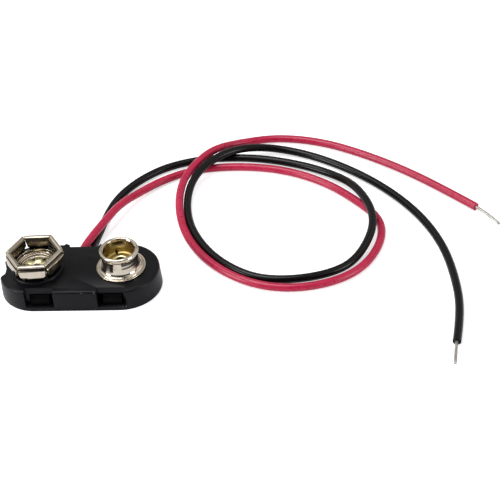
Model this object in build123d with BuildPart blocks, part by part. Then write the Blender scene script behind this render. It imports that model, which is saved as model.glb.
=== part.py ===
from build123d import *
import os
from math import atan, degrees, pi, radians, sin, tan

# Battery snap connector: a hard moulded housing, a hexagonal spring socket,
# a round stud and two loose leads. Origin under the middle of the housing,
# +Z up, +X towards the stud, +Y towards the side the leads come out of.

os.makedirs("parts", exist_ok=True)

# Terminals, in millimetres
pitch = 12.7              # centre of the socket to centre of the stud
socket_turn = 3.0         # how far the hexagon sits turned on its rivet, degrees

# Housing: upper shell
end_radius = 5.80         # round ends, measured at the base
wall_setback = 0.13       # how much the moulded wall leans in from base to top
shell_height = 3.43
top_plate = 1.10
wall = 1.18
top_round = 0.40

# Collar of the upper shell round the foot of the socket
collar_radius = 3.95
collar_height = 0.46
collar_round = 0.30
collar_clearance = 0.05

# Snap windows in the long sides, two on each
window_inner = 3.26       # from the middle of the housing
window_width = 4.30
window_sill = 0.65

# Recesses where leads can leave: one used at the back, one unused at the left end
outlet_half_width = 2.16
outlet_depth = 0.70
outlet_flare = 0.25
outlet_pad = 0.60         # thickening inside the wall behind the used recess
end_half_width = 1.10
end_flare = 1.20
end_depth = 0.95
end_shelf = 1.00

# Leads
insulation_d = 1.25
strand_d = 0.48
lead_offset = 0.95        # each side of the middle
lead_height = 1.50
lead_start = 3.10         # where the insulation is stripped inside
lead_straight = 5.80      # it runs straight as far as here
hole_clearance = 0.05
floor_gap = 0.025
low_pass = 2.15           # height of the upper lead's middle where two cross

# Housing: bottom cover
cover_clearance = 0.05
cover_thickness = 0.65
tab_thickness = 0.80
tab_length = 2.80
tab_headroom = 0.18
barb_reach = 0.66
barb_drop = 0.45
barb_face = 0.60
barb_gap = 0.12
cradle_thickness = 0.75
cradle_half_width = 1.95

# Rivets, solder tags and solder
rivet_radius = 1.20
rivet_bore = 0.95
rivet_clearance = 0.05
rivet_flange = 1.75
rivet_foot = 0.20
head_edge = 0.10
head_rise = 0.30
petal_head = 2.05
notch_size = 0.42
tag_thickness = 0.30
tag_radius = 2.20
tag_arm_width = 1.30
tag_arm_reach = 4.30
solder_radius = 0.62
joint_x = 2.90            # middle of each soldered joint, from the housing's middle
strand_straight = 1.00
strand_spread = 0.75
strand_turn_y = 0.90
strand_end_y = 0.10

# Stud
stud_radius = 2.925
stud_height = 3.45
rim_roll = 0.285
stud_band = 0.25          # straight stretch on the rolled rim
stud_neck = 2.69
neck_run_in = 0.20
stud_bore = 2.36
bore_bend = 0.15
stud_floor = 1.10
stud_sheet = 0.20
neck_wall = 0.16
neck_foot = 1.15          # where the neck starts to spread
step_radius = 3.05
step_height = 0.52
step_run = 0.22
step_drop = 0.12
step_bend = 0.14
stud_flange = 3.69
flange_thickness = 0.27
flange_bend = 0.13
tear_width = 0.45
tear_angle = 122

# Socket
cup_radius = 3.30
cup_bore = 3.02
cup_height = 1.30
cup_floor = 0.40
cup_step = 2.50
cup_step_height = 0.75
cup_edge = 0.10
socket_sheet = 0.22
petals = 6
root_across = 3.15        # from the axis to the middle of the sheet, so are the next four
shoulder_across = 3.02
waist_across = 2.88
ridge_in_across = 3.11
ridge_out_across = 3.32
root_height = 1.00
shoulder_height = 1.60
waist_height = 2.25
ridge_in_height = 3.20
ridge_out_height = 3.28
ridge_face = 3.45         # from the axis to the outer side of the sheet, so are the next three
groove_face = 3.40
flap_top_face = 3.57
flap_face = 3.81
ridge_top = 3.39
ridge_round = 0.12
groove_height = 2.94
flap_top_height = 2.82
flap_height = 1.25
fold_bend = 0.115
neck_width = 2.00
petal_slit = 0.10         # between neighbours, along the whole mitre
flap_bottom_width = 4.00
flap_chamfer = 0.28

# Derived positions
ceiling = shell_height - top_plate
top_radius = end_radius - wall_setback
cavity_radius = end_radius - wall
outlet_face = top_radius - outlet_depth
window_middle = window_inner + window_width / 2
socket_x = -pitch / 2
stud_x = pitch / 2
rivet_hole = rivet_radius + rivet_clearance
lying = insulation_d / 2 + floor_gap


def upright(x):
    """The plane of a turned profile: radius from x along X, height along Z."""
    return Plane(origin=(x, 0, 0), x_dir=(1, 0, 0), z_dir=(0, -1, 0))


def turning(x):
    """The upright axis of a turned piece."""
    return Axis((x, 0, 0), (0, 0, 1))


# Upper shell
with BuildPart() as top_shell:
    with BuildSketch():
        SlotCenterToCenter(pitch, 2 * end_radius)
    extrude(amount=shell_height, taper=degrees(atan(wall_setback / shell_height)))
    fillet(top_shell.faces().sort_by(Axis.Z)[-1].edges(), top_round)
    # Collar round the socket
    with BuildSketch(Plane.XY.offset(shell_height)):
        with Locations((socket_x, 0)):
            Circle(collar_radius)
            Circle(cup_radius + collar_clearance, mode=Mode.SUBTRACT)
    extrude(amount=collar_height)
    collar_top = top_shell.faces().sort_by(Axis.Z)[-1]
    fillet(collar_top.edges().sort_by(SortBy.RADIUS)[-1], collar_round)
    with BuildSketch():
        SlotCenterToCenter(pitch, 2 * cavity_radius)
    extrude(amount=ceiling, mode=Mode.SUBTRACT)
    # Pad behind the used recess, down to the cover
    with BuildSketch(Plane.XY.offset(cover_thickness + cover_clearance)):
        with Locations((0, cavity_radius - outlet_pad)):
            Rectangle(
                2 * outlet_half_width, outlet_pad + wall / 4, align=(Align.CENTER, Align.MIN)
            )
    extrude(amount=ceiling - cover_thickness - cover_clearance)
    # Windows for the cover's barbs: in front through the plate's edge too, at the back below it
    for side, window_top in ((-1, 2 * shell_height), (1, ceiling)):
        with BuildSketch(Plane.XY.offset(window_sill)):
            for end in (-1, 1):
                with Locations((end * window_middle, side * (cavity_radius - cover_clearance + wall))):
                    Rectangle(window_width, 2 * wall)
        extrude(amount=window_top - window_sill, mode=Mode.SUBTRACT)
    # Recess at the back
    with BuildSketch(Plane.XY.offset(window_sill)):
        with BuildLine():
            flare = outlet_half_width + outlet_flare
            Polyline(
                (-flare, 2 * end_radius),
                (-flare, top_radius),
                (-outlet_half_width, outlet_face),
                (outlet_half_width, outlet_face),
                (flare, top_radius),
                (flare, 2 * end_radius),
                close=True,
            )
        make_face()
    extrude(amount=shell_height, mode=Mode.SUBTRACT)
    # Unused recess in the left end
    with BuildSketch(Plane.XY.offset(end_shelf)):
        with BuildLine():
            face = socket_x - top_radius + end_depth
            mouth = face - 2 * end_depth
            spread = end_half_width + 2 * end_flare
            Polyline(
                (mouth, -spread),
                (face, -end_half_width),
                (face, end_half_width),
                (mouth, spread),
                close=True,
            )
        make_face()
    extrude(amount=shell_height, mode=Mode.SUBTRACT)
    # Holes: one for each lead, one for each rivet
    with BuildSketch(Plane.XZ.offset(-end_radius)):
        with Locations((-lead_offset, lead_height), (lead_offset, lead_height)):
            Circle(insulation_d / 2 + hole_clearance)
    extrude(amount=end_radius - lead_start, mode=Mode.SUBTRACT)
    with BuildSketch(Plane.XY.offset(ceiling)):
        with Locations((socket_x, 0), (stud_x, 0)):
            Circle(rivet_hole)
    extrude(amount=top_plate, mode=Mode.SUBTRACT)
top_shell.part.label = "top_shell"
export_step(top_shell.part, "parts/top_shell.step")

# Bottom cover with its latch tabs and the cradle that holds the leads
cover_radius = cavity_radius - cover_clearance
tab_inside = cover_radius - tab_thickness
tab_top = ceiling - tab_headroom
barb_tip = cover_radius + barb_reach
barb_low = window_sill + barb_gap
barb_high = barb_low + barb_face
with BuildPart() as bottom_cover:
    with BuildSketch():
        SlotCenterToCenter(pitch, 2 * cover_radius)
    extrude(amount=cover_thickness)
    for side in (-1, 1):
        for end in (-1, 1):
            with BuildSketch(Plane.YZ.offset(end * window_middle - tab_length / 2)):
                with BuildLine():
                    Polyline(
                        (side * tab_inside, cover_thickness),
                        (side * tab_inside, tab_top),
                        (side * cover_radius, tab_top),
                        (side * cover_radius, barb_high + barb_drop),
                        (side * barb_tip, barb_high),
                        (side * barb_tip, barb_low),
                        (side * cover_radius, barb_low),
                        (side * cover_radius, cover_thickness),
                        close=True,
                    )
                make_face()
            extrude(amount=tab_length)
    cradle_back = cavity_radius - outlet_pad - cover_clearance
    with BuildSketch(Plane.XZ.offset(-cradle_back)):
        with Locations((0, cover_thickness)):
            Rectangle(
                2 * cradle_half_width,
                lead_height - cover_thickness,
                align=(Align.CENTER, Align.MIN),
            )
        with Locations((-lead_offset, lead_height), (lead_offset, lead_height)):
            Circle(insulation_d / 2 + hole_clearance, mode=Mode.SUBTRACT)
    extrude(amount=cradle_thickness)
bottom_cover.part.label = "bottom_cover"
export_step(bottom_cover.part, "parts/bottom_cover.step")

# Stud: one drawn sheet, rolled over at the rim and turned out into a flange
roll_r = stud_radius - rim_roll
roll_z = shell_height + stud_height - rim_roll
band_z = roll_z - stud_band
bore_r = stud_bore - bore_bend
floor_z = shell_height + stud_floor
under_z = floor_z - stud_sheet
foot_z = shell_height + neck_foot
step_z = shell_height + step_height
ledge_z = step_z - step_drop
flange_z = shell_height + flange_thickness
inside_r = stud_neck - neck_wall
with BuildPart() as male_snap:
    with BuildSketch(upright(stud_x)):
        with BuildLine():
            Line((rivet_hole, under_z), (rivet_hole, floor_z))
            Line((rivet_hole, floor_z), (bore_r, floor_z))
            Line((bore_r, floor_z), (stud_bore, floor_z + bore_bend))
            Line((stud_bore, floor_z + bore_bend), (stud_bore, roll_z))
            RadiusArc((stud_bore, roll_z), (roll_r, roll_z + rim_roll), rim_roll)
            RadiusArc((roll_r, roll_z + rim_roll), (stud_radius, roll_z), rim_roll)
            Line((stud_radius, roll_z), (stud_radius, band_z))
            Line((stud_radius, band_z), (stud_neck, band_z - neck_run_in))
            Line((stud_neck, band_z - neck_run_in), (stud_neck, foot_z))
            RadiusArc((stud_neck, foot_z), (step_radius, step_z), -(foot_z - step_z))
            Line((step_radius, step_z), (step_radius + step_run, ledge_z))
            Line((step_radius + step_run, ledge_z), (step_radius + step_run + step_bend, flange_z))
            Line((step_radius + step_run + step_bend, flange_z), (stud_flange - flange_bend, flange_z))
            Line((stud_flange - flange_bend, flange_z), (stud_flange, flange_z - flange_bend))
            Line((stud_flange, flange_z - flange_bend), (stud_flange, shell_height))
            Line((stud_flange, shell_height), (step_radius, shell_height))
            Line((step_radius, shell_height), (inside_r, step_z))
            Line((inside_r, step_z), (inside_r, under_z))
            Line((inside_r, under_z), (rivet_hole, under_z))
        make_face()
    revolve(axis=turning(stud_x))
    # A short tear where the floor was drawn tightest
    tear_plane = Plane(origin=(stud_x, 0, under_z)).rotated((0, 0, tear_angle))
    with BuildSketch(tear_plane):
        with BuildLine():
            Polyline(
                (stud_bore - bore_bend, tear_width / 2),
                (rivet_flange + cover_clearance, 0),
                (stud_bore - bore_bend, -tear_width / 2),
                close=True,
            )
        make_face()
    extrude(amount=stud_sheet + bore_bend, mode=Mode.SUBTRACT)
male_snap.part.label = "male_snap"
export_step(male_snap.part, "parts/male_snap.step")

# One spring finger of the socket, from its root in the cup up to the ridge
half_turn = radians(180 / petals)
mitre = tan(half_turn)
far_out = 2 * flap_face
with BuildPart() as finger:
    with BuildSketch(Plane.XZ):
        with BuildLine():
            FilletPolyline(
                (root_across, root_height),
                (shoulder_across, shoulder_height),
                (waist_across, waist_height),
                (ridge_in_across, ridge_in_height),
                (ridge_out_across, ridge_out_height),
                radius=fold_bend,
            )
        trace(line_width=socket_sheet)
    extrude(amount=flap_face, both=True)
    with BuildSketch(Plane.YZ):
        with BuildLine():
            wide = ridge_in_across * mitre
            Polyline(
                (-neck_width / 2, 0),
                (-neck_width / 2, waist_height),
                (-wide, ridge_in_height),
                (-wide, 2 * ridge_in_height),
                (wide, 2 * ridge_in_height),
                (wide, ridge_in_height),
                (neck_width / 2, waist_height),
                (neck_width / 2, 0),
                close=True,
            )
        make_face()
    extrude(amount=far_out, mode=Mode.INTERSECT)

# The flap outside it: over the ridge, into a pressed groove, then out and down
with BuildPart() as flap:
    with BuildSketch(Plane.XZ):
        with BuildLine():
            Polyline(
                (ridge_face - socket_sheet, ridge_top),
                (ridge_face - ridge_round, ridge_top),
                (ridge_face, ridge_top - ridge_round),
                (groove_face, groove_height),
                (flap_top_face, flap_top_height),
                (flap_face, flap_height),
                (flap_face - socket_sheet, flap_height),
                (flap_top_face - socket_sheet, flap_top_height - socket_sheet),
                (groove_face - socket_sheet, groove_height - socket_sheet),
                (groove_face - socket_sheet, groove_height),
                (ridge_face - socket_sheet, ridge_top - ridge_round),
                close=True,
            )
        make_face()
    extrude(amount=flap_face, both=True)
    with BuildSketch(Plane.YZ):
        with BuildLine():
            wide = flap_top_face * mitre
            narrow = flap_bottom_width / 2 - flap_chamfer
            Polyline(
                (-narrow, flap_height),
                (-flap_bottom_width / 2, flap_height + flap_chamfer),
                (-wide, flap_top_height),
                (-wide, 2 * ridge_top),
                (wide, 2 * ridge_top),
                (wide, flap_top_height),
                (flap_bottom_width / 2, flap_height + flap_chamfer),
                (narrow, flap_height),
                close=True,
            )
        make_face()
    extrude(amount=far_out, mode=Mode.INTERSECT)

# Both together, cut back along the mitres so that neighbours stay a slit apart
with BuildPart() as petal:
    add(finger.part)
    add(flap.part)
    with BuildSketch():
        with BuildLine():
            apex = petal_slit / 2 / sin(half_turn)
            Polyline(
                (apex, 0),
                (far_out, -(far_out - apex) * mitre),
                (far_out, (far_out - apex) * mitre),
                close=True,
            )
        make_face()
    extrude(amount=2 * ridge_top, mode=Mode.INTERSECT)

# Socket: a drawn cup inside the collar, carrying the six petals
with BuildPart(Plane(origin=(socket_x, 0, shell_height))) as female_snap:
    with BuildSketch(Plane(origin=(socket_x, 0, shell_height), x_dir=(1, 0, 0), z_dir=(0, -1, 0))):
        with BuildLine():
            Polyline(
                (rivet_hole, 0),
                (cup_radius, 0),
                (cup_radius, cup_height),
                (cup_bore, cup_height),
                (cup_bore, cup_step_height + cup_edge),
                (cup_bore - cup_edge, cup_step_height),
                (cup_step + cup_edge, cup_step_height),
                (cup_step, cup_step_height - cup_edge),
                (cup_step, cup_floor + cup_edge),
                (cup_step - cup_edge, cup_floor),
                (rivet_hole, cup_floor),
                close=True,
            )
        make_face()
    revolve(axis=turning(socket_x))
    with PolarLocations(0, petals, start_angle=180 / petals + socket_turn):
        add(petal.part)
female_snap.part.label = "female_snap"
export_step(female_snap.part, "parts/female_snap.step")


def rivet_section(seat, head_radius):
    """Half section of a tubular rivet: rolled head on its seat, foot under the tag."""
    foot = ceiling - tag_thickness
    crown = ((head_radius + rivet_bore) / 2, seat + head_rise)
    with BuildLine() as outline:
        Polyline(
            (rivet_bore, seat + head_edge),
            (rivet_bore, foot - rivet_foot),
            (rivet_flange, foot - rivet_foot),
            (rivet_flange, foot),
            (rivet_radius, foot),
            (rivet_radius, seat),
            (head_radius, seat),
            (head_radius, seat + head_edge),
        )
        ThreePointArc((head_radius, seat + head_edge), crown, (rivet_bore, seat + head_edge))
    return outline.edges()


# Tubular rivet of the socket, its head split into a six-pointed star
star_seat = shell_height + cup_floor
with BuildPart() as female_eyelet:
    with BuildSketch(upright(socket_x)):
        make_face(rivet_section(star_seat, petal_head))
    revolve(axis=turning(socket_x))
    with BuildSketch(Plane(origin=(socket_x, 0, star_seat))):
        with PolarLocations(petal_head, petals, start_angle=socket_turn):
            RegularPolygon(notch_size, 3, rotation=180)
    extrude(amount=2 * head_rise, mode=Mode.SUBTRACT)
female_eyelet.part.label = "female_eyelet"
export_step(female_eyelet.part, "parts/female_eyelet.step")

# Tubular rivet of the stud, its head a rolled ring
with BuildPart() as male_eyelet:
    with BuildSketch(upright(stud_x)):
        make_face(rivet_section(floor_z, rivet_flange))
    revolve(axis=turning(stud_x))
male_eyelet.part.label = "male_eyelet"
export_step(male_eyelet.part, "parts/male_eyelet.step")


def swept_round(points, diameter):
    """A round solid along a route; each corner gets the widest arc its shorter run takes."""
    bends = []
    for before, here, after in zip(points, points[1:], points[2:]):
        arriving = Vector(here) - Vector(before)
        leaving = Vector(after) - Vector(here)
        shorter = min(arriving.length, leaving.length)
        bends.append(0.45 * shorter / tan(radians(arriving.get_angle(leaving)) / 2))
    with BuildPart() as piece:
        with BuildLine() as route:
            FilletPolyline(*points, radius=bends)
        path = route.wires()[0]
        with BuildSketch(Plane(origin=path @ 0, z_dir=path % 0)):
            Circle(diameter / 2)
        sweep(path=path)
    solid = piece.part.volume / (pi * diameter**2 / 4 * path.length)
    print("  route", round(path.length, 1), "mm, solid", round(solid, 4), "of section x length")
    print("  bends", [round(bend, 1) for bend in bends])
    return piece.part


tag_z = ceiling - tag_thickness
strand_z = tag_z - strand_d / 2 - floor_gap
for name, side in (("female", -1), ("male", 1)):
    # Solder tag clamped under the plate, its arm pointing to the middle
    with BuildPart() as tag:
        with BuildSketch(Plane.XY.offset(tag_z)):
            with Locations((side * pitch / 2, 0)):
                Circle(tag_radius)
            with Locations((side * (pitch / 2 - tag_arm_reach / 2), 0)):
                Rectangle(tag_arm_reach, tag_arm_width)
            with Locations((side * pitch / 2, 0)):
                Circle(rivet_hole, mode=Mode.SUBTRACT)
        extrude(amount=tag_thickness)
    tag.part.label = name + "_tag"
    export_step(tag.part, f"parts/{name}_tag.step")
    # Stripped strands from the insulation to the joint
    inner_route = [
        (side * lead_offset, lead_start, lead_height),
        (side * lead_offset, lead_start - strand_straight, lead_height),
        (side * (lead_offset + strand_spread), strand_turn_y, (lead_height + strand_z) / 2),
        (side * joint_x, strand_end_y, strand_z),
    ]
    print(name, "inner strands")
    inner = swept_round(inner_route, strand_d)
    colour = "red" if side < 0 else "black"
    inner.label = colour + "_inner_strands"
    export_step(inner, f"parts/{colour}_inner_strands.step")
    # Dome of solder under the arm, around the strands
    with BuildPart() as dome:
        with Locations((side * joint_x, 0, tag_z)):
            Sphere(solder_radius)
        split(bisect_by=Plane.XY.offset(tag_z), keep=Keep.BOTTOM)
        add(inner, mode=Mode.SUBTRACT)
    dome.part.label = name + "_solder"
    export_step(dome.part, f"parts/{name}_solder.step")

# Routes of the two leads, insulation first, then the bare end
black_route = [
    (lead_offset, lead_start, lead_height),
    (lead_offset, lead_straight, lead_height),
    (1.4, 8.8, 0.98),
    (1.6, 12.6, lying),
    (1.8, 16.6, lying),
    (3.0, 21.2, lying),
    (6.2, 25.8, lying),
    (10.6, 29.2, lying),
    (17.0, 31.0, lying),
    (24.6, 30.8, lying),
    (32.4, 28.5, lying),
    (38.6, 24.6, 0.9),
    (41.6, 19.5, low_pass),
    (43.7, 13.8, low_pass),
    (43.6, 9.2, 1.4),
    (41.2, 4.6, lying),
    (36.6, 1.3, lying),
    (30.2, 0.0, lying),
    (23.8, 2.2, lying),
    (18.8, 6.7, lying),
    (15.8, 12.4, lying),
    (14.4, 17.8, 0.7),
    (14.6, 22.4, 1.4),
    (16.3, 26.6, low_pass),
    (20.1, 30.5, low_pass),
    (24.8, 32.6, 1.5),
    (31.2, 32.3, lying),
    (38.2, 28.4, lying),
    (45.0, 22.6, lying),
    (50.6, 15.4, lying),
    (54.2, 7.4, lying),
    (55.8, -1.2, lying),
    (56.1, -8.2, lying),
    (55.3, -14.0, lying),
]
red_route = [
    (-lead_offset, lead_start, lead_height),
    (-lead_offset, lead_straight, lead_height),
    (-0.05, 8.6, 2.0),
    (2.0, 12.2, 2.25),
    (3.8, 16.8, 2.2),
    (5.9, 21.2, 1.0),
    (9.6, 25.2, lying),
    (14.6, 27.9, lying),
    (21.8, 28.6, lying),
    (29.4, 27.3, lying),
    (36.2, 23.6, lying),
    (41.2, 18.6, lying),
    (44.9, 13.8, lying),
    (44.9, 8.2, lying),
    (42.2, 2.3, lying),
    (37.4, -1.1, lying),
    (31.0, -2.3, lying),
    (24.8, -0.7, lying),
    (18.9, 3.9, lying),
    (15.0, 10.2, lying),
    (13.3, 16.4, 1.2),
    (13.2, 22.0, 2.0),
    (14.4, 26.6, 2.2),
    (17.4, 31.4, 2.2),
    (21.8, 34.9, 0.9),
    (28.0, 36.4, lying),
    (35.4, 34.8, lying),
    (42.6, 30.9, lying),
    (49.4, 26.0, lying),
    (55.4, 20.6, lying),
    (59.5, 16.6, lying),
]
black_end = [(55.3, -14.0, lying), (55.04, -15.88, lying), (54.9, -18.4, lying)]
red_end = [(59.5, 16.6, lying), (61.07, 15.06, lying), (62.8, 12.3, lying)]
for name, route, thickness in (
    ("black_insulation", black_route, insulation_d),
    ("red_insulation", red_route, insulation_d),
    ("black_bare_strands", black_end, strand_d),
    ("red_bare_strands", red_end, strand_d),
):
    print(name)
    lead = swept_round(route, thickness)
    lead.label = name
    export_step(lead, f"parts/{name}.step")
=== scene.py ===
# %% [markdown]
# # Battery snap connector
# The real object is a small clip for a box-shaped battery: a hard black housing with
# a spring socket and a stud on top, and two soft leads that come out of its long side.
# The rigid pieces arrive as a finished frame, in metres. This lesson dresses them:
# sheet metal gets its folds and rolled edges, plastic its softened corners, and the
# leads their real lie. First the frame is loaded.

# %% Load the frame
import math

import bmesh
import bpy
import numpy as np
from mathutils import Matrix, Vector


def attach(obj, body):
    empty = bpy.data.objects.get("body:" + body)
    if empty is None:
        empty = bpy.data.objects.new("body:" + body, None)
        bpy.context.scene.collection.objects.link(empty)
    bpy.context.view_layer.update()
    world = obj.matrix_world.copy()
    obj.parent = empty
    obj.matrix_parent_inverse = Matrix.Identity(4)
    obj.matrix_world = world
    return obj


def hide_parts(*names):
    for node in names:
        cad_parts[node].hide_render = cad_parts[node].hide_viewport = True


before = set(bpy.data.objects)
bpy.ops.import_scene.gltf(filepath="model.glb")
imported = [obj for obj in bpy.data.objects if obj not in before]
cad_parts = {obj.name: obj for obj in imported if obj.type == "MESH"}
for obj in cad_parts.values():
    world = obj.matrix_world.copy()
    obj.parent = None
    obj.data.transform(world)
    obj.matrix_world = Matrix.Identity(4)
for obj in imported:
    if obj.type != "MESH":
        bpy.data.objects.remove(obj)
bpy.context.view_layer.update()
MM = 0.001

# %% [markdown]
# A colour is written as the hex value that a paint program shows, and one function turns
# it to the linear light that shaders want. A second small function adds a node of any
# kind, sets its properties and fills its sockets with values, links or whole nodes. With
# it, a material or a Geometry Nodes tree reads like a recipe.

# %% Colours and nodes


def linear(code):
    """Linear RGBA of an sRGB hex colour."""
    parts = [int(code[i:i + 2], 16) / 255 for i in (1, 3, 5)]
    return [p / 12.92 if p <= 0.04045 else ((p + 0.055) / 1.055) ** 2.4 for p in parts] + [1]


def add(tree, kind, sockets=None, stops=(), **settings):
    """Add one node and return it.

    sockets fills inputs, by name or number, with a value, a link, or a node, which means
    its first output. stops are a colour ramp's (position, hex or grey) pairs, and settings
    are the node's own properties.
    """
    made = tree.nodes.new(kind)
    for name, value in settings.items():
        setattr(made, name, value)
    for name, value in (sockets or {}).items():
        if isinstance(value, bpy.types.Node):
            value = value.outputs[0]
        if isinstance(value, bpy.types.NodeSocket):
            tree.links.new(value, made.inputs[name])
        else:
            made.inputs[name].default_value = value
    if stops:
        points = made.color_ramp.elements
        while len(points) < len(stops):
            points.new(0.5)
        for point, (position, tone) in zip(points, stops):
            point.position = position
            point.color = linear(tone) if isinstance(tone, str) else [tone] * 3 + [1]
    return made


print("#808080 is linear", round(linear("#808080")[0], 3))

# %% [markdown]
# The camera stands where the photographer's did: in front, a little right of the
# middle and 39 degrees up, tipped 5 degrees. It could be aimed by a constraint, but its
# three axes follow from those angles and then say plainly where it looks. A long lens
# keeps the perspective mild.

# %% Camera
AZIMUTH, ELEVATION, ROLL = (math.radians(a) for a in (6.922, 39.106, -5.322))
TARGET = Vector((24.836, 7.711, 0)) * MM
DISTANCE = 234.106
LENS, SENSOR = 110.265, 36
back = Vector((
    math.sin(AZIMUTH) * math.cos(ELEVATION),
    -math.cos(AZIMUTH) * math.cos(ELEVATION),
    math.sin(ELEVATION),
))
right = Vector((0, 0, 1)).cross(back).normalized()
up = back.cross(right)
tilted_right = math.cos(ROLL) * right + math.sin(ROLL) * up
tilted_up = math.cos(ROLL) * up - math.sin(ROLL) * right
camera = bpy.data.objects.new("camera", bpy.data.cameras.new("camera"))
camera.data.lens, camera.data.sensor_width = LENS, SENSOR
camera.data.clip_start, camera.data.clip_end = 0.02, 5
turn = Matrix((tilted_right, tilted_up, back)).transposed().to_4x4()
camera.matrix_world = Matrix.Translation(TARGET + back * DISTANCE * MM) @ turn
scene = bpy.context.scene
scene.collection.objects.link(camera)
scene.camera = camera
print("camera at, mm:", [round(c / MM, 1) for c in camera.matrix_world.translation])

# %% [markdown]
# Nickel shows what stands round it. A photographer puts such a small, shiny thing
# between soft boxes over a white table and keeps the room behind the camera dark, so
# that the folds have pale and dark things to mirror. A picture of a studio could stand
# in for the room. Here four smooth bands of direction make it instead, because each can
# be moved alone: a pale horizon, a lighter back wall, and two soft boxes high up at the
# sides. Matt surfaces get weak, even light, and the camera sees plain white.

# %% What mirrors see


def ray_kinds(tree):
    """Whether a ray comes from the camera, and whether it comes off metal or through glass."""
    rays = add(tree, "ShaderNodeLightPath").outputs
    shiny = add(
        tree, "ShaderNodeMath", {0: rays["Is Glossy Ray"], 1: rays["Is Transmission Ray"]},
        operation="MAXIMUM",
    )
    return rays["Is Camera Ray"], shiny


scene.view_settings.view_transform = "Standard"
world = bpy.data.worlds.new("studio")
scene.world = world
world.use_nodes = True
sky = world.node_tree
sky.nodes.clear()
toward = add(sky, "ShaderNodeTexCoord").outputs["Generated"]
axis = add(sky, "ShaderNodeSeparateXYZ", {0: toward}).outputs
aside = add(sky, "ShaderNodeMath", {0: axis["X"]}, operation="ABSOLUTE")
horizon, back_wall, box_height, box_side = (
    add(sky, "ShaderNodeMapRange", {
        "Value": value, "From Min": start, "From Max": end, "To Min": before, "To Max": after,
    }, interpolation_type="SMOOTHSTEP")
    for value, start, end, before, after in (
        (axis["Z"], 0.05, 0.30, 0.70, 0.00),
        (axis["Y"], -0.35, 0.30, 0.05, 0.35),
        (axis["Z"], 0.45, 0.62, 0.00, 0.62),
        (aside, 0.16, 0.30, 0.00, 1.00),
    )
)
room = add(sky, "ShaderNodeMath", {0: horizon, 1: back_wall}, operation="ADD")
mirrored = add(
    sky, "ShaderNodeMath", {0: box_height, 1: box_side, 2: room}, operation="MULTIPLY_ADD",
)
even, glint, white = (
    add(sky, "ShaderNodeBackground", {"Color": linear(colour), "Strength": strength})
    for colour, strength in (("#f2f5fb", 0.33), ("#fffdf8", mirrored), ("#ffffff", 1.0))
)
from_camera, from_mirror = ray_kinds(sky)
around = add(sky, "ShaderNodeMixShader", {0: from_mirror, 1: even, 2: glint})
whole = add(sky, "ShaderNodeMixShader", {0: from_camera, 1: around, 2: white})
add(sky, "ShaderNodeOutputWorld", {"Surface": whole})
print("studio of", len(sky.nodes), "nodes")

# %% [markdown]
# The light itself comes from soft boxes: a broad one above, which lays the shadows close
# under the leads, and two smaller ones low at the sides, which draw the long lights on
# the wire and on the housing's edges. Small lamps would give hard glints, so area lamps
# of the boxes' size are used.

# %% Three soft boxes
for name, place, aim, size, power in (      # millimetres and watts
    ("overhead_box", (-60, 30, 290), (20, 5, 0), 170, 0.50),
    ("left_box", (-250, -120, 105), (0, 5, 0), 110, 0.42),
    ("right_box", (270, -110, 100), (10, 5, 0), 110, 0.26),
):
    light = bpy.data.lights.new(name, "AREA")
    light.size, light.energy = size * MM, power
    lamp = bpy.data.objects.new(name, light)
    lamp.location = Vector(place) * MM
    lamp.rotation_euler = (Vector(place) - Vector(aim)).to_track_quat("Z", "Y").to_euler()
    scene.collection.objects.link(lamp)
    print(name, "at, mm:", place)

# %% [markdown]
# The object lies on a sweep of white paper. A bent sheet would be the real thing, but a
# flat square is enough, because its end is never seen. To the camera the paper glows as
# well, so that the ground is white while the shadow stays, and far from the object,
# where the lamps no longer reach, it fades to plain white. Mirrors see a weaker glow.

# %% White paper
REACH = 1.6
GLOW, MIRRORED_GLOW = 0.60, 0.15
FADE_START, FADE_END = 0.12, 0.28
floor_mesh = bpy.data.meshes.new("floor")
floor_mesh.from_pydata(
    [(-REACH, -REACH, 0), (REACH, -REACH, 0), (REACH, REACH, 0), (-REACH, REACH, 0)],
    [], [(0, 1, 2, 3)],
)
floor = bpy.data.objects.new("floor", floor_mesh)
scene.collection.objects.link(floor)
# Uncoated paper: matt, so it shows no mirror image, only soft shadow
paper = bpy.data.materials.new("white_paper_sweep")
paper.use_nodes = True
sheet = paper.node_tree
sheet.nodes.clear()
matt = add(sheet, "ShaderNodeBsdfDiffuse", {"Color": linear("#f2f2f2")})
glow, plain = (
    add(sheet, "ShaderNodeEmission", {"Color": linear("#ffffff"), "Strength": strength})
    for strength in (GLOW, 1.0)
)
lit = add(sheet, "ShaderNodeAddShader", {0: matt, 1: glow})
from_camera, from_mirror = ray_kinds(sheet)
shown = add(
    sheet, "ShaderNodeMath", {0: from_mirror, 1: MIRRORED_GLOW, 2: from_camera},
    operation="MULTIPLY_ADD",
)
near = add(sheet, "ShaderNodeMixShader", {0: shown, 1: matt, 2: lit})
spot = add(sheet, "ShaderNodeTexCoord").outputs["Object"]
distance = add(sheet, "ShaderNodeVectorMath", {0: spot}, operation="LENGTH").outputs["Value"]
far = add(sheet, "ShaderNodeMapRange", {
    "Value": distance, "From Min": FADE_START, "From Max": FADE_END,
}, interpolation_type="SMOOTHSTEP")
faded = add(sheet, "ShaderNodeMath", {0: far, 1: from_camera}, operation="MULTIPLY")
ground = add(sheet, "ShaderNodeMixShader", {0: faded, 1: near, 2: plain})
add(sheet, "ShaderNodeOutputMaterial", {"Surface": ground})
floor_mesh.materials.append(paper)
print("paper:", 2 * REACH, "m wide, plain white beyond", FADE_END, "m")

# %% [markdown]
# Each lead is soft wire that lies where it was dropped: out of the housing, once round
# in a loose loop, over and under its neighbour. A chain of cylinders or a Bezier curve
# could follow it. A NURBS curve fits better, because it bends smoothly near its points
# without passing through them, like the wire itself. The points follow the solid wire's
# route. In the loop and just outside the housing they are moved, by 2.4 mm at most, so
# that the leads touch as the real ones do.

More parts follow.
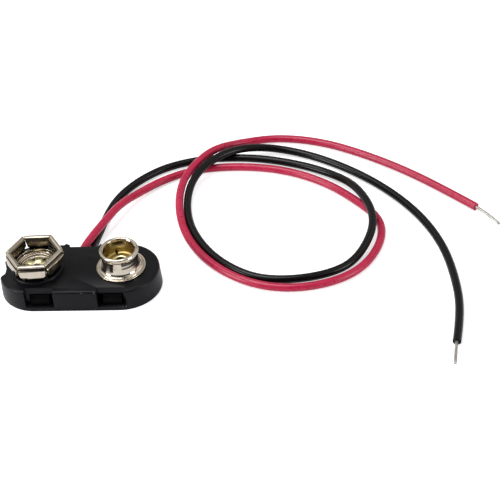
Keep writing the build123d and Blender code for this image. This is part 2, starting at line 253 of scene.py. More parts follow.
# %% The two leads
WIRE = 1.25 * MM
LOW, OVER = 0.65, 2.15      # heights in mm: on the table, and lying on the other lead
black_route = [
    (0.95, 3.1, 1.5), (0.93, 5.8, 1.36), (0.64, 8.8, 0.72), (1.2, 12.6, LOW), (1.7, 16.6, LOW),
    (3.0, 21.2, LOW), (6.2, 25.8, LOW), (10.6, 29.2, LOW), (17.0, 31.0, LOW), (24.6, 30.8, LOW),
    (32.4, 28.5, LOW), (38.6, 24.6, 0.9), (41.6, 19.5, OVER), (43.7, 13.8, OVER), (43.4, 9.2, 1.4),
    (40.85, 3.75, LOW), (36.9, 0.95, LOW), (31.0, -0.3, LOW), (25.4, 0.5, LOW), (19.87, 4.78, LOW),
    (16.04, 10.76, LOW), (14.25, 16.62, 0.7), (14.25, 22.5, 1.4), (16.1, 26.75, OVER),
    (19.95, 30.75, OVER), (24.7, 32.8, 1.5), (31.2, 32.3, LOW), (38.2, 28.4, LOW), (45.0, 22.6, LOW),
    (50.6, 15.4, LOW), (54.2, 7.4, LOW), (55.8, -1.2, LOW), (56.1, -8.2, LOW), (55.3, -14.0, LOW),
]
red_route = [
    (-0.95, 3.1, 1.5), (-0.85, 5.8, 1.6), (0.2, 8.6, 2.05), (1.95, 12.6, 2.25), (3.7, 16.8, 2.2),
    (5.9, 21.2, 1.0), (9.6, 25.2, LOW), (14.6, 27.9, LOW), (21.8, 28.6, LOW), (29.4, 27.3, LOW),
    (36.2, 23.6, LOW), (41.2, 18.6, LOW), (44.9, 13.8, LOW), (44.9, 8.2, LOW), (42.2, 2.3, LOW),
    (37.4, -1.1, LOW), (31.0, -2.3, LOW), (24.8, -0.7, LOW), (18.9, 3.9, LOW), (14.85, 10.2, LOW),
    (13.05, 16.4, 1.2), (12.98, 22.0, 2.0), (14.4, 26.6, 2.2), (17.4, 31.4, 2.2), (21.8, 34.9, 0.9),
    (28.0, 36.4, LOW), (35.4, 34.8, LOW), (42.6, 30.9, LOW), (49.4, 26.0, LOW), (55.4, 20.6, LOW),
    (59.5, 16.6, LOW),
]


def smooth_curve(name, points_mm, thickness=0.0):
    """An open NURBS line near the points, as thick as given."""
    line = bpy.data.curves.new(name, "CURVE")
    line.dimensions = "3D"
    line.resolution_u = 14
    line.bevel_depth = thickness / 2
    line.bevel_resolution = 8
    line.use_fill_caps = thickness > 0
    spline = line.splines.new("NURBS")
    spline.points.add(len(points_mm) - 1)
    for point, place in zip(spline.points, points_mm):
        point.co = (*(c * MM for c in place), 1)
    spline.order_u = 3
    spline.use_endpoint_u = True
    made = bpy.data.objects.new(name, line)
    scene.collection.objects.link(made)
    return made


red_lead = smooth_curve("red_lead", red_route, WIRE)
black_lead = smooth_curve("black_lead", black_route, WIRE)
print("points: red", len(red_route), "black", len(black_route))

# %% [markdown]
# No real surface is even. Plastic and metal alike have faint clouds in their colour,
# patches that shine more or less, and a fine relief. Painted maps could give that, but
# noise in an object's own coordinates needs no unwrapping and has a true size in
# millimetres. One function starts every such material, and each finish names its sizes.

# %% An uneven surface


def uneven(name, tones, patch, wear, reliefs, shader, stretch=None):
    """Start a material with cloudy colour, uneven sheen and fine relief.

    Each noise is (size in mm, detail, roughness). patch is the colour's, between the
    (position, hex) tones; wear is the sheen's, with its least and greatest value; each of
    the reliefs adds its depth in mm and its strength.
    """
    material = bpy.data.materials.new(name)
    material.use_nodes = True
    tree = material.node_tree
    tree.nodes.clear()
    place = add(tree, "ShaderNodeTexCoord").outputs["Object"]
    flow = place
    if stretch:
        flow = add(tree, "ShaderNodeMapping", {"Vector": place, "Scale": stretch})
    cloud, dulling, *heights = (
        add(tree, "ShaderNodeTexNoise", {
            "Vector": flow if noise is patch else place,
            "Scale": 1 / (noise[0] * MM), "Detail": noise[1], "Roughness": noise[2],
        })
        for noise in (patch, wear, *reliefs)
    )
    sheen = add(tree, "ShaderNodeMapRange", {"Value": dulling, "To Min": wear[3], "To Max": wear[4]})
    under = {}
    for height, (*_, depth, strength) in zip(heights, reliefs):
        under = {"Normal": add(tree, "ShaderNodeBump", {
            "Height": height, "Distance": depth * MM, "Strength": strength, **under,
        })}
    colour = add(tree, "ShaderNodeValToRGB", {0: cloud}, tones)
    surface = add(tree, "ShaderNodeBsdfPrincipled", {
        "Base Color": colour, "Roughness": sheen, **under, **shader,
    })
    add(tree, "ShaderNodeOutputMaterial", {"Surface": surface})
    return material, tree, surface, place


# %% [markdown]
# The insulation is extruded PVC: dyed through, satin, with faint streaks from the die
# and the odd dull patch where it was handled. A coat layer could give the gloss, but a
# plain surface of medium roughness has the same soft, broad highlight. Two close shades
# of each dye keep the lead from looking painted.

# %% Extruded PVC


def pvc(name, deep, pale, rough, level):
    """Extruded PVC insulation in two shades of one dye; level is its gloss."""
    # The die's marks are finer than 0.1 mm and are drawn 0.35 mm wide, so that they show
    return uneven(
        name, [(0.32, deep), (0.68, pale)],
        patch=(2.4, 5, 0.55), wear=(0.7, 3, 0.6, rough - 0.07, rough + 0.09),
        reliefs=[(0.35, 3, 0.5, 0.012, 0.8)], shader={"IOR": 1.53, "Specular IOR Level": level},
    )[0]


# Red: bright and a little glossy, so the lamps draw one soft line along it
red_lead.data.materials.append(pvc("red_pvc_extruded", "#b4163f", "#c4214b", 0.28, 0.42))
# Black: the same plastic, but carbon swallows nearly all light, so only that line shows
black_lead.data.materials.append(pvc("black_pvc_extruded", "#020203", "#050507", 0.24, 0.24))
print("leads:", [lead.data.materials[0].name for lead in (red_lead, black_lead)])

# %% [markdown]
# The housing is two hard mouldings that snap together. The mould was eroded by sparks,
# which leaves a satin grain, and the melt leaves faint marks where it flowed. Grain
# could be modelled, but it is far smaller than a pixel, so relief in the material does.

# %% Moulded plastic


def moulding(name, deep, pale, rough, grain_mm, level):
    """Injection-moulded plastic: satin, with a spark-eroded grain and drawn-out flow marks."""
    # Real grain is about 0.03 mm and is drawn three to five times as coarse, so that it shows
    return uneven(
        name, [(0.3, deep), (0.75, pale)],
        patch=(5.0, 6, 0.6), wear=(1.3, 5, 0.65, rough - 0.1, rough + 0.1),
        reliefs=[(grain_mm, 3, 0.5, 0.008, 0.55), (2.6, 2, 0.4, 0.03, 0.35)],
        shader={"IOR": 1.5, "Specular IOR Level": level}, stretch=(1, 2.5, 1),
    )[0]


# Shell: black with a trace of blue, a soft sheen on its edges
shell_plastic = moulding("black_housing_injection_moulded", "#07070b", "#0e0e13", 0.34, 0.13, 0.19)
# Cover: dull, and painted darker than the shell as shade in its deep windows
cover_plastic_painted_shade = moulding("black_cover_moulded_painted_shade", "#020203", "#050506", 0.55, 0.16, 0.06)
print("plastics:", shell_plastic.name, "and", cover_plastic_painted_shade.name)

# %% [markdown]
# The housing's shapes are right as they arrive, but every edge is perfectly sharp, and
# black plastic without a catch of light on its edges looks like a paper cut-out. So a
# copy of each solid is merged into one skin, its flat faces are cleaned, and each hard
# edge gets the small radius of a mould.

# %% Housing with softened edges


def new_object(name, mesh, *materials):
    """An object at the origin with that mesh and those materials."""
    for material in materials:
        mesh.materials.append(material)
    made = bpy.data.objects.new(name, mesh)
    scene.collection.objects.link(made)
    return made


def smooth(mesh, angle):
    """Smooth shading, with sharp edges where faces turn by more than the angle."""
    mesh.shade_smooth()
    mesh.set_sharp_from_angle(angle=math.radians(angle))


def settle(piece, angle):
    """Turn modifiers into plain mesh, so that what is seen is what is measured."""
    bpy.context.view_layer.update()
    evaluated = piece.evaluated_get(bpy.context.evaluated_depsgraph_get())
    whole = bpy.data.meshes.new_from_object(evaluated)
    whole.name = piece.name
    piece.modifiers.clear()
    piece.data = whole
    smooth(whole, angle)
    print(piece.name, len(whole.polygons), "faces")


def softened(node, name, radius_mm, material):
    """A merged copy of a solid, with its hard edges rounded."""
    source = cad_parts[node]
    mesh = source.data.copy()
    mesh.materials.clear()
    mesh.transform(source.matrix_world)
    skin = bmesh.new()
    skin.from_mesh(mesh)
    bmesh.ops.remove_doubles(skin, verts=skin.verts, dist=0.002 * MM)
    bmesh.ops.dissolve_limit(
        skin, angle_limit=math.radians(0.4), verts=skin.verts, edges=skin.edges,
        use_dissolve_boundaries=False,
    )
    bmesh.ops.recalc_face_normals(skin, faces=skin.faces)
    skin.to_mesh(mesh)
    skin.free()
    piece = new_object(name, mesh, material)
    edges = piece.modifiers.new("moulded_edges", "BEVEL")
    edges.width, edges.segments, edges.limit_method = radius_mm * MM, 3, "ANGLE"
    edges.angle_limit, edges.miter_outer = math.radians(32), "MITER_ARC"
    settle(piece, 35)
    return piece


shell = softened("top_shell", "housing_shell", 0.10, shell_plastic)
cover = softened("bottom_cover", "housing_cover", 0.07, cover_plastic_painted_shade)

# %% [markdown]
# Cheap mouldings keep scraps of flash at their edges, and small knocks turn the plastic
# pale. Both are tiny lumps that stand a little proud. Sculpting them into the shell
# would risk its clean faces, so each is a small uneven ball sunk into the edge.

# %% Flash and nicks


def specks(name, spots, material):
    """Small uneven blobs of plastic, each (x, y, z, length, depth, height) in mm."""
    blob = bmesh.new()
    for number, (x, y, z, *size) in enumerate(spots):
        for vert in bmesh.ops.create_icosphere(blob, subdivisions=3, radius=0.5)["verts"]:
            x_wave, y_wave = 9 * vert.co.x + number, 11 * vert.co.y + 2 * number
            lump = 1 + 0.16 * math.sin(x_wave) + 0.12 * math.sin(y_wave)
            vert.co = Vector([c * s * lump for c, s in zip(vert.co, size)]) + Vector((x, y, z))
            vert.co *= MM
    mesh = bpy.data.meshes.new(name)
    blob.to_mesh(mesh)
    blob.free()
    mesh.shade_smooth()
    print(name, len(spots), "specks")
    return new_object(name, mesh, material)


flash = specks("moulding_flash", [
    (-2.80, 5.52, 3.36, 0.50, 0.34, 0.30), (-2.42, 5.44, 3.38, 0.30, 0.30, 0.26),
    (2.48, 5.50, 3.36, 0.22, 0.30, 0.20), (3.20, -5.46, 3.36, 0.24, 0.20, 0.12),
], shell_plastic)
# Stress-whitened plastic: a knock opens tiny voids in it, which scatter light grey
whitened = moulding("stress_whitened_plastic", "#4a4a50", "#7a7a80", 0.5, 0.1, 0.17)
nicks = specks("edge_nicks", [
    (1.10, -5.63, 3.30, 0.17, 0.10, 0.10), (2.90, -5.60, 3.32, 0.15, 0.12, 0.10),
    (3.02, -5.66, 3.20, 0.10, 0.08, 0.16), (7.46, -5.74, 0.70, 0.12, 0.10, 0.16),
    (6.98, -5.78, 0.62, 0.20, 0.08, 0.08),
], whitened)

# %% [markdown]
# The terminals are drawn from brass sheet and plated with bright nickel, which is never
# a perfect mirror. The sheet keeps faint rings from the draw, and deep inside, where
# the bath reached less, the brass shows through. A painted mask could say where. Here
# that depends on place alone: the distance from the terminal's axis, and the height.

# %% Metals and nickel plate
PITCH = 12.7
SOCKET_X, STUD_X = -PITCH / 2, PITCH / 2
TOP = 3.43


def metal(name, tones, rough, grain_mm=0.6, depth_mm=0.001):
    """A metal of two tones with uneven sheen."""
    return uneven(
        name, [(0.35, tones[0]), (0.7, tones[1])],
        patch=(1.1, 3, 0.5), wear=(0.5, 4, 0.6, rough * 0.7, rough * 1.4),
        reliefs=[(grain_mm, 3, 0.5, depth_mm, 0.6)], shader={"Metallic": 1.0},
    )


def plated(name, axis_mm, inner_mm, low_mm, high_mm, brass):
    """Bright nickel on drawn brass.

    Brass shows within inner_mm of the axis, fully below low_mm and not at all above high_mm.
    """
    material, tree, surface, place = metal(name, ("#c9beae", "#d8cebf"), 0.12)
    colour, sheen, skin = (
        surface.inputs[socket].links[0].from_socket
        for socket in ("Base Color", "Roughness", "Normal")
    )
    centre = (axis_mm * MM, 0, 0)
    offset = add(tree, "ShaderNodeVectorMath", {0: place, 1: centre}, operation="SUBTRACT")
    flat = add(tree, "ShaderNodeVectorMath", {0: offset, 1: (1, 1, 0)}, operation="MULTIPLY")
    reach = add(tree, "ShaderNodeVectorMath", {0: flat}, operation="LENGTH").outputs["Value"]
    height = add(tree, "ShaderNodeSeparateXYZ", {0: place}).outputs["Z"]
    # Draw rings follow the sheet out and up. Real ones are finer than 0.09 mm and wouldn't show
    along = add(tree, "ShaderNodeMath", {0: reach, 1: height}, operation="ADD")
    drawn = add(tree, "ShaderNodeTexNoise", {
        "Vector": add(tree, "ShaderNodeCombineXYZ", {0: along}),
        "Scale": 1 / (0.09 * MM), "Detail": 2, "Roughness": 0.5,
    })
    rings = add(tree, "ShaderNodeBump", {
        "Height": drawn, "Distance": 0.0004 * MM, "Strength": 0.5, "Normal": skin,
    })
    # The edge of the plating is ragged by up to half a millimetre
    inside = add(tree, "ShaderNodeMath", {0: reach, 1: inner_mm * MM}, operation="LESS_THAN")
    rag = add(tree, "ShaderNodeTexNoise", {
        "Vector": place, "Scale": 1 / (0.8 * MM), "Detail": 3, "Roughness": 0.6,
    })
    ragged = add(tree, "ShaderNodeMath", {0: rag, 1: 0.5 * MM, 2: height}, operation="MULTIPLY_ADD")
    fade = add(tree, "ShaderNodeMapRange", {
        "Value": ragged, "From Min": low_mm * MM, "From Max": high_mm * MM,
        "To Min": 1.0, "To Max": 0.0,
    })
    bare = add(tree, "ShaderNodeMath", {0: inside, 1: fade}, operation="MULTIPLY")
    mixed = add(
        tree, "ShaderNodeMix", {"Factor": bare, 6: colour, 7: linear(brass)}, data_type="RGBA",
    )
    duller = add(tree, "ShaderNodeMath", {0: bare, 1: 0.22, 2: sheen}, operation="MULTIPLY_ADD")
    tree.links.new(mixed.outputs[2], surface.inputs["Base Color"])
    tree.links.new(duller.outputs[0], surface.inputs["Roughness"])
    tree.links.new(rings.outputs[0], surface.inputs["Normal"])
    return material, tree, surface, place


# %% [markdown]
# Between the close folds of the socket the metal looks nearly black: it mirrors its own
# dark folds over and over. More bounces of light would show a part of that, slowly. So
# the shade is painted: the colour is multiplied by a tone that follows the height. Each
# list pairs a height above the housing, in millimetres, with its tone.

# %% Painted shade between the folds, and the list of metals


def shade_by_height(made, stops):
    """Multiply a metal's colour by a painted shade that follows the height in mm above the housing."""
    material, tree, surface, place = made
    low, high = stops[0][0], stops[-1][0]
    share = add(tree, "ShaderNodeMapRange", {
        "Value": add(tree, "ShaderNodeSeparateXYZ", {0: place}).outputs["Z"],
        "From Min": (TOP + low) * MM, "From Max": (TOP + high) * MM,
    })
    tone = add(tree, "ShaderNodeValToRGB", {0: share}, [
        ((at - low) / (high - low), value) for at, value in stops
    ])
    colour = surface.inputs["Base Color"].links[0].from_socket
    shaded = add(
        tree, "ShaderNodeMix", {"Factor": 1.0, 6: colour, 7: tone},
        data_type="RGBA", blend_type="MULTIPLY",
    )
    tree.links.new(shaded.outputs[2], surface.inputs["Base Color"])
    return material


# Hidden side of the fingers: dull brown nickel whose dark tone is partly painted shade, with painted
# shade at waist and fold
dull_nickel_painted_shade = shade_by_height(
    metal("dull_spring_nickel_painted_shade", ("#8f8473", "#aa9e8b"), 0.20),
    [(1.6, 0.10), (2.10, 0.16), (2.35, 0.80), (2.80, 0.85), (2.98, 0.22), (3.16, 0.35), (3.30, 1.0)],
)
# Spring nickel: bright, with painted shade at its foot and in the groove below the ridge
socket_nickel = shade_by_height(
    plated("nickel_plated_spring_brass", SOCKET_X, 2.4, TOP + 0.2, TOP + 0.7, "#c4b590"),
    [(0.0, 0.06), (0.15, 0.08), (0.30, 1.0), (2.66, 1.0), (2.76, 0.12), (3.10, 0.10), (3.22, 1.0)],
)
# Drawn nickel: a warm mirror outside, with brass showing down the stud's inner wall
stud_nickel = plated("nickel_plated_drawn_brass", STUD_X, 2.5, TOP + 2.0, TOP + 3.3, "#b19a60")[0]
sheared_brass, rivet_brass, tag_brass, tinned, solder_tin = (metal(*made)[0] for made in (
    # Sheared edges tear a little, so bare brass shows there as a thin, broken yellow line
    ("sheared_brass_edge", ("#9c8a60", "#c4b386"), 0.30),
    # Rolled brass: pale yellow, smeared rather than polished by the rolling tool
    ("rolled_rivet_brass", ("#d8cc98", "#ece4bd"), 0.34),
    # Stamped brass: dull, as it left the strip
    ("stamped_tag_brass", ("#b39a5a", "#c9b276"), 0.34),
    # Hot-tinned copper: cool grey, with a fine frosty grain
    ("tinned_copper", ("#b3b0ab", "#dbd8d2"), 0.36, 0.12, 0.004),
    # Solder: the same metal, set smooth
    ("solder_tin", ("#b9babb", "#d4d5d3"), 0.30),
))
print("materials:", len(bpy.data.materials))

# %% [markdown]
# Turned and drawn pieces are half a section carried round an axis. A screw modifier
# would do for perfect ones. A small function of one's own can also bend each step of
# the turn, as a worn press or a split rivet does. Sheet metal has no sharp corner, so
# each corner of the section is first replaced by a small curve.

# %% Sections carried round an axis


def rounded(points, radius, closed=True, steps=4):
    """The same outline with every corner replaced by a small curve."""
    result = []
    count = len(points)
    for i, here in enumerate(points):
        if not closed and i in (0, count - 1):
            result.append(tuple(here))
            continue
        here = np.array(here, float)
        before = np.array(points[i - 1], float)
        after = np.array(points[(i + 1) % count], float)
        runs = [np.linalg.norm(before - here), np.linalg.norm(after - here)]
        start = here + (before - here) * min(radius / runs[0], 0.45)
        end = here + (after - here) * min(radius / runs[1], 0.45)
        for t in np.linspace(0, 1, steps + 1):
            result.append(tuple((1 - t) ** 2 * start + 2 * t * (1 - t) * here + t * t * end))
    return result


def closed_mesh(name, places, faces):
    """A mesh from points in metres, with its faces turned outwards."""
    mesh = bpy.data.meshes.new(name)
    mesh.from_pydata(places, [], faces)
    skin = bmesh.new()
    skin.from_mesh(mesh)
    bmesh.ops.recalc_face_normals(skin, faces=skin.faces)
    skin.to_mesh(mesh)
    skin.free()
    return mesh


def turned(name, section, x_mm, material, steps=144, shape=None):
    """Carry a closed section of (radius, height above the housing) round the axis at x.

    shape may change a point's radius and height by its angle.
    """
    places, faces = [], []
    count = len(section)
    for k in range(steps):
        angle = 2 * math.pi * k / steps
        for radius, high in section:
            if shape:
                radius, high = shape(angle, radius, high)
            x, y = x_mm + radius * math.cos(angle), radius * math.sin(angle)
            places.append((x * MM, y * MM, (TOP + high) * MM))
        for i in range(count):
            j, after = (i + 1) % count, (k + 1) % steps
            faces.append((k * count + i, after * count + i, after * count + j, k * count + j))
    mesh = closed_mesh(name, places, faces)
    smooth(mesh, 50)
    print(name, len(mesh.polygons), "faces")
    return new_object(name, mesh, material)


# %% [markdown]
# The stud is one drawn sheet: floor, wall, rolled rim, neck, step and flange. A
# hand-fed press leaves the flange not quite round or flat, and the draw has torn the
# inner floor in one place. A dark stain could hint at the tear, but only a real gap
# catches light on its edge, so a wedge is cut out with a Boolean.

# %% Stud
TEAR_TURN = math.radians(112)
TEAR_LOW, TEAR_HIGH = 0.6, 1.60


def stud_wobble(angle, radius, high):
    """Waves in the flange alone."""
    if radius > 3.0 and 0.05 < high < 0.5:
        high += 0.018 * math.sin(2 * angle + 0.6) + 0.010 * math.sin(5 * angle)
    return radius, high


stud = turned("stud", rounded([
    (1.25, 0.92), (1.25, 1.12), (1.95, 1.12), (2.22, 1.26), (2.32, 1.60), (2.32, 3.12), (2.34, 3.36),
    (2.48, 3.53), (2.66, 3.57), (2.84, 3.50), (2.925, 3.32), (2.925, 3.08), (2.84, 2.90), (2.74, 2.78),
    (2.72, 2.20), (2.74, 1.60), (2.80, 1.16), (2.89, 0.84), (3.02, 0.62), (3.18, 0.52), (3.32, 0.46),
    (3.35, 0.30), (3.56, 0.30), (3.64, 0.34), (3.68, 0.26), (3.66, 0.08), (3.10, 0.00), (2.78, 0.40),
    (2.53, 0.80), (2.53, 0.92),
], 0.06), STUD_X, stud_nickel, steps=192, shape=stud_wobble)
outwards = Vector((math.cos(TEAR_TURN), math.sin(TEAR_TURN), 0))
sideways = Vector((-math.sin(TEAR_TURN), math.cos(TEAR_TURN), 0))
plan = [
    outwards * out + sideways * side
    for out, side in ((1.62, 0), (2.00, 0.15), (2.44, 0.25), (2.44, -0.25), (2.00, -0.12))
]
tear = new_object("tear", closed_mesh("tear", [
    (point + Vector((STUD_X, 0, TOP + high))) * MM
    for high in (TEAR_LOW, TEAR_HIGH) for point in plan
], [
    (4, 3, 2, 1, 0), (5, 6, 7, 8, 9),
    *((i, (i + 1) % 5, (i + 1) % 5 + 5, i + 5) for i in range(5)),
]))
cut = stud.modifiers.new("tear", "BOOLEAN")
cut.operation, cut.solver, cut.object = "DIFFERENCE", "EXACT", tear
settle(stud, 50)
bpy.data.objects.remove(tear)

# %% [markdown]
# The socket's cup steps down to a floor that the rivet clamps, and both rivets are
# rolled over from tube. The stud's stayed whole. The socket's split into a star of six
# petals, as thin tube does when it is rolled too far. Petals could be modelled one by
# one, but the star is only a section whose reach shrinks at six angles.

# %% Cup and rivets
HEXAGON = math.radians(3.0)         # how far the socket sits turned on its rivet
SIXTH = math.pi / 3
NOTCH_HALF = math.radians(11)
PETAL_ROOT = 0.9
cup = turned("socket_cup", rounded([
    (1.25, 0.00), (3.30, 0.00), (3.30, 1.26), (3.24, 1.30), (3.08, 1.30), (3.02, 1.24), (3.00, 0.86),
    (2.92, 0.76), (2.60, 0.75), (2.50, 0.66), (2.47, 0.50), (2.36, 0.41), (2.16, 0.40), (2.08, 0.14),
    (1.25, 0.10),
], 0.05), SOCKET_X, socket_nickel)


def star(angle, radius, high):
    """Six notches where the rivet's mouth split; each petal's middle stands highest."""
    if radius > PETAL_ROOT and high > 0.2:
        turn = (angle + HEXAGON + SIXTH / 2) % SIXTH - SIXTH / 2
        reach = min(abs(turn) / NOTCH_HALF, 1)
        radius = PETAL_ROOT + (radius - PETAL_ROOT) * max(reach, 0.08)
        high += 0.10 * math.sin(3 * abs(turn)) - 0.06
    return radius, high


socket_rivet = turned("socket_rivet", rounded([
    (0.95, -1.60), (0.95, 0.10), (0.58, 0.42), (0.56, 0.54), (0.74, 0.62), (1.10, 0.68), (1.50, 0.69),
    (1.80, 0.64), (2.04, 0.54), (2.08, 0.47), (1.80, 0.44), (1.16, 0.40), (1.14, -1.40), (1.75, -1.40),
    (1.75, -1.60),
], 0.04), SOCKET_X, rivet_brass, steps=180, shape=star)
stud_rivet = turned("stud_rivet", rounded([
    (0.95, -1.60), (0.95, 0.90), (0.84, 1.20), (0.90, 1.30), (1.06, 1.35), (1.22, 1.34), (1.36, 1.26),
    (1.44, 1.14), (1.42, 1.12), (1.20, 1.12), (1.20, -1.40), (1.75, -1.40), (1.75, -1.60),
], 0.04), STUD_X, rivet_brass)

# %% [markdown]
# The socket's six fingers are cut from one sheet: each narrows to a neck, leans in to a
# waist, widens to the ridge, folds over it and hangs down as a flap. Solid folds would
# be hard to keep even, so one finger is drawn as a bent strip of zero thickness, whose
# width follows a rule. Two modifiers give it the sheet's thickness, with bare sheared
# metal along the rim and dull nickel with painted shade on the hidden side, and soft edges.

# %% One spring finger
SHEET = 0.20
MITRE = math.tan(SIXTH / 2)
CORNER_GAP = 0.045
FLAP_HALF, FLAP_TOP, FLAP_END = 1.98, 2.85, 1.36
COLUMNS = 14
BELLY = 0.035
OUTER, RIM, HIDDEN = 0, 1, 2        # the finger's material slots
strip = rounded([
    (3.40, 0.30), (3.40, 1.15), (3.22, 1.66), (2.88, 2.26), (2.99, 2.90), (3.12, 3.19), (3.25, 3.31),
    (3.46, 3.345), (3.63, 3.335), (3.70, 3.26), (3.60, 3.15), (3.50, 3.04), (3.49, 2.86), (3.60, 2.74),
    (3.74, 2.64), (3.82, 2.48), (3.82, 2.00), (3.82, 1.66), (3.80, FLAP_END),
], 0.10, closed=False, steps=3)
crest = max(range(len(strip)), key=lambda i: strip[i][1])
plating_starts = crest - 4          # rows before this one face into the socket


def gone(value, start, end):
    """How far value has gone from start to end, held between 0 and 1."""
    return min(max((value - start) / (end - start), 0), 1)


def half_width(radius, high, past_ridge):
    """Half the strip's width: neck and mitre up to the ridge, then the tapered flap."""
    mitre = radius * MITRE - CORNER_GAP
    if not past_ridge:
        neck = gone(high, 1.90, 1.40)
        return mitre - 0.07 * gone(high, 2.95, 2.05) - 0.45 * neck * neck * (3 - 2 * neck)
    fold, drop = gone(high, 3.25, 2.90), gone(high, FLAP_TOP, FLAP_END)
    cut = gone(high, FLAP_END + 0.22, FLAP_END)
    return mitre + (FLAP_HALF - mitre) * fold - 0.26 * drop ** 2.2 - 0.14 * cut ** 1.6


places, faces = [], []
for row, (radius, high) in enumerate(strip):
    half = half_width(radius, high, row > crest)
    for column in range(COLUMNS + 1):
        across = 2 * column / COLUMNS - 1
        belly = BELLY * (1 - across * across) if row > crest else 0.0
        places.append(((radius + belly) * MM, half * across * MM, high * MM))
for row in range(len(strip) - 1):
    for column in range(COLUMNS):
        a = row * (COLUMNS + 1) + column
        faces.append((a, a + COLUMNS + 1, a + COLUMNS + 2, a + 1))
finger_mesh = bpy.data.meshes.new("finger")
finger_mesh.from_pydata(places, [], faces)
for face in finger_mesh.polygons:
    face.material_index = OUTER if face.index // COLUMNS >= plating_starts else HIDDEN
fingers = new_object("socket_fingers", finger_mesh, socket_nickel, sheared_brass, dull_nickel_painted_shade)
thick = fingers.modifiers.new("sheet", "SOLIDIFY")
thick.thickness, thick.offset, thick.use_even_offset = SHEET * MM, 0, True
thick.material_offset, thick.material_offset_rim = HIDDEN, RIM
soft_edge = fingers.modifiers.new("soft_edge", "BEVEL")
soft_edge.width, soft_edge.segments, soft_edge.limit_method = 0.035 * MM, 2, "ANGLE"
soft_edge.angle_limit = math.radians(60)
settle(fingers, 55)

# %% [markdown]
# A press never bends six fingers quite alike. Copies placed by hand could differ, but a
# Geometry Nodes tree does it by a rule: it sets the finger round the axis and tips each
# copy by a small random turn with a fixed seed. Its inputs have names, so the same tree
# serves any number of fingers.

# %% Six fingers round the axis


def new_tree(name, *inputs):
    """A Geometry Nodes tree with named (name, kind, default) inputs, and their identifiers."""
    tree = bpy.data.node_groups.new(name, "GeometryNodeTree")
    tree.is_modifier = True
    identifiers = {}
    for label, kind, *default in (("Geometry", "Geometry"), *inputs):
        socket = tree.interface.new_socket(label, in_out="INPUT", socket_type="NodeSocket" + kind)
        if default:
            socket.default_value = default[0]
        identifiers[label] = socket.identifier
    tree.interface.new_socket("Geometry", in_out="OUTPUT", socket_type="NodeSocketGeometry")
    return tree, identifiers, add(tree, "NodeGroupInput").outputs


def run_tree(piece, tree, identifiers, values, angle):
    """Apply a tree to a piece with these values of its named inputs."""
    step = piece.modifiers.new(tree.name, "NODES")
    step.node_group = tree
    for label, value in values.items():
        step[identifiers[label]] = value
    settle(piece, angle)


ring, ring_inputs, given = new_tree(
    "ring_of_pieces", ("Count", "Int", 6), ("Turn", "Float", 0.0), ("Centre", "Vector", (0, 0, 0)),
    ("Uneven", "Float", 0.0), ("Seed", "Int", 1), ("Edge", "Material"), ("Inside", "Material"),
    ("Face", "Material"),
)
points = add(ring, "GeometryNodePoints", {"Count": given["Count"]})
number = add(ring, "GeometryNodeInputIndex")
share = add(ring, "ShaderNodeMath", {0: number, 1: given["Count"]}, operation="DIVIDE")
bearing = add(
    ring, "ShaderNodeMath", {0: share, 1: 2 * math.pi, 2: given["Turn"]}, operation="MULTIPLY_ADD",
)
copies = add(ring, "GeometryNodeInstanceOnPoints", {
    "Points": points, "Instance": given["Geometry"],
    "Rotation": add(ring, "ShaderNodeCombineXYZ", {2: bearing}),
})
least = add(ring, "ShaderNodeMath", {0: given["Uneven"], 1: -1.0}, operation="MULTIPLY")
lowest, highest = (
    add(ring, "ShaderNodeCombineXYZ", {0: limit, 1: limit, 2: limit})
    for limit in (least, given["Uneven"])
)
chance = add(ring, "FunctionNodeRandomValue", {
    0: lowest, 1: highest, "Seed": given["Seed"],
}, data_type="FLOAT_VECTOR")
tipped = add(ring, "GeometryNodeRotateInstances", {
    "Instances": copies, "Rotation": chance, "Local Space": True,
})
moved = add(ring, "GeometryNodeTranslateInstances", {
    "Instances": tipped, "Translation": given["Centre"], "Local Space": False,
})
# The rim and the hidden side keep their own metals, and all other faces get the plate
edge, inside = (
    add(ring, "GeometryNodeMaterialSelection", {0: given[side]}) for side in ("Edge", "Inside")
)
faced = add(ring, "GeometryNodeSetMaterial", {
    "Geometry": add(ring, "GeometryNodeRealizeInstances", {0: moved}),
    "Selection": add(ring, "FunctionNodeBooleanMath", {0: edge, 1: inside}, operation="NOR"),
    "Material": given["Face"],
})
add(ring, "NodeGroupOutput", {0: faced})
run_tree(fingers, ring, ring_inputs, {
    "Count": 6, "Turn": HEXAGON + SIXTH / 2, "Centre": (SOCKET_X * MM, 0, TOP * MM),
    "Uneven": math.radians(0.45), "Seed": 5,
    "Edge": sheared_brass, "Inside": dull_nickel_painted_shade, "Face": socket_nickel,
}, 55)

# %% [markdown]
# The stripped ends are bunches of fine tinned strands. On the red lead they are twisted
# hard, as fingers twist them, and on the black lead they lie nearly straight. Seven
# curves could be drawn by hand for each. One node tree makes both instead: it takes the
# middle line of the lead's last stretch, doubles it into strands, winds them round it
# and gives each a round section.

# %% A tree that winds strands
winding, winding_inputs, given = new_tree(
    "wound_strands", ("Strands", "Int", 6), ("Strand Radius", "Float", 0.08 * MM),
    ("Winding Radius", "Float", 0.16 * MM), ("Lay Length", "Float", 2.5 * MM), ("Metal", "Material"),
)
line = add(winding, "GeometryNodeMeshToCurve", {0: given["Geometry"]})
doubled = add(winding, "GeometryNodeDuplicateElements", {
    "Geometry": line, "Amount": given["Strands"],
}, domain="SPLINE")
along = add(winding, "GeometryNodeSplineParameter").outputs["Length"]
turns, start = (
    add(winding, "ShaderNodeMath", {0: part, 1: whole}, operation="DIVIDE") for part, whole in (
        (along, given["Lay Length"]), (doubled.outputs["Duplicate Index"], given["Strands"]),
    )
)
turned_by = add(winding, "ShaderNodeMath", {0: turns, 1: start}, operation="ADD")
angle = add(winding, "ShaderNodeMath", {0: turned_by, 1: 2 * math.pi}, operation="MULTIPLY")
side_way = add(winding, "GeometryNodeInputNormal")
forward = add(winding, "GeometryNodeInputTangent")
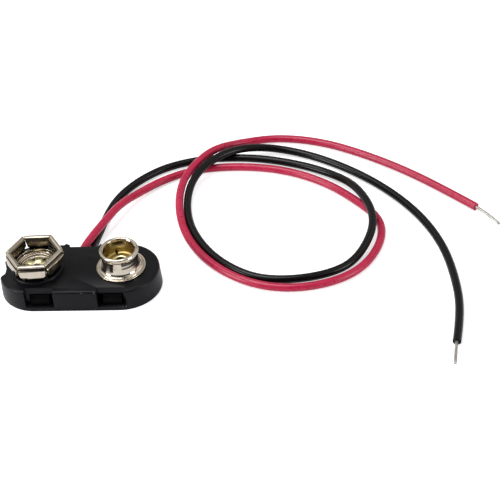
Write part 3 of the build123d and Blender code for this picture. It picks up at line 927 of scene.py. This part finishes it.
up_way = add(winding, "ShaderNodeVectorMath", {0: forward, 1: side_way}, operation="CROSS_PRODUCT")
parts = []
for way, wave in ((side_way, "COSINE"), (up_way, "SINE")):
    amount = add(winding, "ShaderNodeMath", {0: angle}, operation=wave)
    reach = add(
        winding, "ShaderNodeMath", {0: amount, 1: given["Winding Radius"]}, operation="MULTIPLY",
    )
    parts.append(add(winding, "ShaderNodeVectorMath", {0: way, "Scale": reach}, operation="SCALE"))
offset = add(winding, "ShaderNodeVectorMath", {0: parts[0], 1: parts[1]}, operation="ADD")
wound = add(winding, "GeometryNodeSetPosition", {"Geometry": doubled, "Offset": offset})
bundle = add(winding, "GeometryNodeJoinGeometry")
for source in (wound, line):
    winding.links.new(source.outputs[0], bundle.inputs[0])
section = add(winding, "GeometryNodeCurvePrimitiveCircle", {
    "Resolution": 12, "Radius": given["Strand Radius"],
})
tubes = add(winding, "GeometryNodeCurveToMesh", {
    "Curve": bundle, "Profile Curve": section, "Fill Caps": True,
})
dipped = add(winding, "GeometryNodeSetMaterial", {
    "Geometry": add(winding, "GeometryNodeRealizeInstances", {0: tubes}), "Material": given["Metal"],
})
add(winding, "NodeGroupOutput", {0: dipped})
print("winding tree:", len(winding.nodes), "nodes")

# %% [markdown]
# The tree wants a line of edges, but a bare NURBS curve gives it the lead's own smooth
# bend. So the curve is drawn first and turned to a mesh. Six strands go round one, each
# 0.16 mm thick, as in common stranded wire; the lay is how far one turn takes.

# %% Bare ends


def bare_end(name, points_mm, lay_mm):
    """A wound bundle of seven strands along the end of a lead."""
    curve = smooth_curve(name, points_mm)
    line = bpy.data.meshes.new_from_object(curve)
    bpy.data.objects.remove(curve)
    piece = new_object(name, line)
    run_tree(piece, winding, winding_inputs, {
        "Strands": 6, "Strand Radius": 0.082 * MM, "Winding Radius": 0.155 * MM,
        "Lay Length": lay_mm * MM, "Metal": tinned,
    }, 60)
    return piece


red_end = [red_route[-1], (61.07, 15.06, LOW), (62.8, 12.3, LOW)]
black_end = [black_route[-1], (55.04, -15.88, LOW), (54.9, -18.4, LOW)]
red_bare = bare_end("red_bare_end", red_end, 2.0)
black_bare = bare_end("black_bare_end", black_end, 7.0)

# %% [markdown]
# Each dressed piece now hangs from the root, and any solid it stands for is hidden.
# Pieces that keep their first shape, such as the tags and the solder under the plate,
# only get a material: nobody sees them in a finished clip, so a second shape would show
# nothing more.

# %% Fit the pieces to the frame
for piece, nodes, slot in (
    (shell, ["top_shell"], "housing"),
    (cover, ["bottom_cover"], "housing"),
    (flash, [], "housing"),
    (nicks, [], "housing"),
    (cup, ["female_snap"], "nickel_plate"),
    (fingers, ["female_snap"], "nickel_plate"),
    (stud, ["male_snap"], "nickel_plate"),
    (socket_rivet, ["female_eyelet"], "rivet_brass"),
    (stud_rivet, ["male_eyelet"], "rivet_brass"),
    (red_lead, ["red_insulation"], "red_pvc"),
    (black_lead, ["black_insulation"], "black_pvc"),
    (red_bare, ["red_bare_strands"], "tinned"),
    (black_bare, ["black_bare_strands"], "tinned"),
):
    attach(piece, "root")
    if nodes:
        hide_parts(*nodes)
for node, material in (
    ("female_tag", tag_brass), ("male_tag", tag_brass),
    ("female_solder", solder_tin), ("male_solder", solder_tin),
    ("red_inner_strands", tinned), ("black_inner_strands", tinned),
):
    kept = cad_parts[node].data
    kept.materials.clear()
    kept.materials.append(material)
    smooth(kept, 40)
    print(node, "is", material.name)
